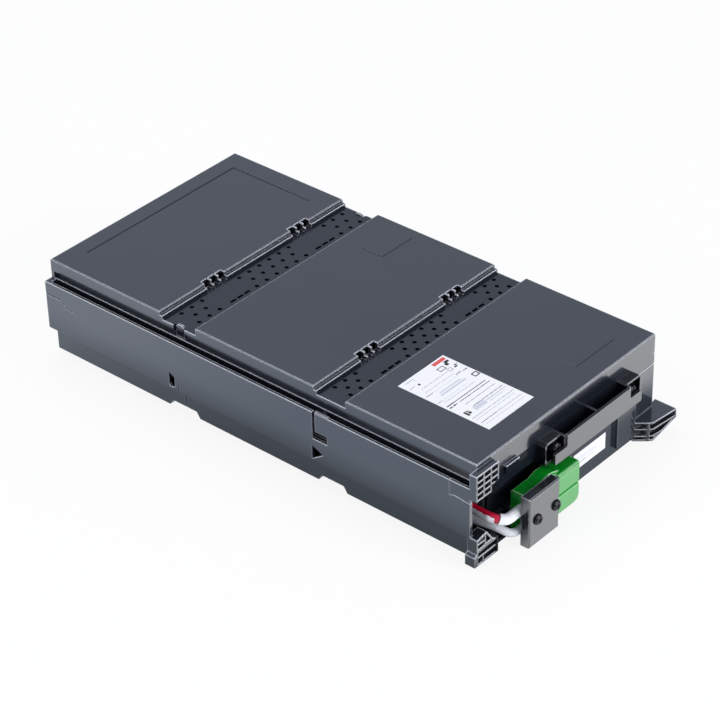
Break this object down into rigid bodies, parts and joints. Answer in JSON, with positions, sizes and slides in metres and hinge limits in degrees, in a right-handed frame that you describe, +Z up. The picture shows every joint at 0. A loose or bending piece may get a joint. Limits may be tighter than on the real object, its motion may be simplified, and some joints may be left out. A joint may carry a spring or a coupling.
{
  "type": "ups battery cartridge",
  "caption": "Removable battery unit of a rack power supply: long dark case with raised panels, perforated channels, a pull handle and a green two-pole connector.",
  "frame": {"origin": "centre of the tray's flat base, on the surface that the cartridge lies on", "axes": "+X to the right seen from the front, +Y from the front to the rear, +Z up; the front with the handle and the connector faces -Y"},
  "size_m": [0.2267, 0.4444, 0.0824],
  "materials": {
    "tray": "dark slate, smooth",
    "top_cover": "dark slate, fine satin",
    "handle": "black, glossy",
    "handle_screws": "black oxide",
    "plate_screws": "black oxide",
    "connector_upper": "green, glossy",
    "connector_lower": "green, glossy",
    "connector_contacts": "plated",
    "connector_plate": "dark grey, satin",
    "positive_lead": "red insulation",
    "negative_lead": "light grey insulation",
    "lead_sleeve": "white sleeve",
    "terminal_tabs": "tinned",
    "terminal_boots": "moulded insulation",
    "floor_pads": "closed-cell foam",
    "lid_pads": "closed-cell foam",
    "jumper_rear": "black insulation",
    "jumper_middle": "black insulation",
    "jumper_front": "black insulation",
    "jumper_rear_loop": "black insulation",
    "jumper_corridor": "black insulation",
    "label_top": "printed film",
    "label_front": "printed film",
    "battery_rear_right": "dark grey case",
    "battery_rear_left": "dark grey case",
    "battery_middle_right": "dark grey case",
    "battery_middle_left": "dark grey case",
    "battery_front_right": "dark grey case",
    "battery_front_left": "dark grey case"
  },
  "bodies": {
    "root": {"tray": "tray", "top_cover": "top_cover", "handle": "handle", "handle_screws": "handle_screws", "plate_screws": "plate_screws", "connector_upper": "connector_upper", "connector_lower": "connector_lower", "connector_contacts": "connector_contacts", "connector_plate": "connector_plate", "positive_lead": "positive_lead", "negative_lead": "negative_lead", "lead_sleeve": "lead_sleeve", "terminal_tabs": "terminal_tabs", "terminal_boots": "terminal_boots", "floor_pads": "floor_pads", "lid_pads": "lid_pads", "jumper_rear": "jumper_rear", "jumper_middle": "jumper_middle", "jumper_front": "jumper_front", "jumper_rear_loop": "jumper_rear_loop", "jumper_corridor": "jumper_corridor", "label_top": "label_top", "label_front": "label_front", "battery_rear_right": "battery_rear_right", "battery_rear_left": "battery_rear_left", "battery_middle_right": "battery_middle_right", "battery_middle_left": "battery_middle_left", "battery_front_right": "battery_front_right", "battery_front_left": "battery_front_left"}
  },
  "joints": []
}
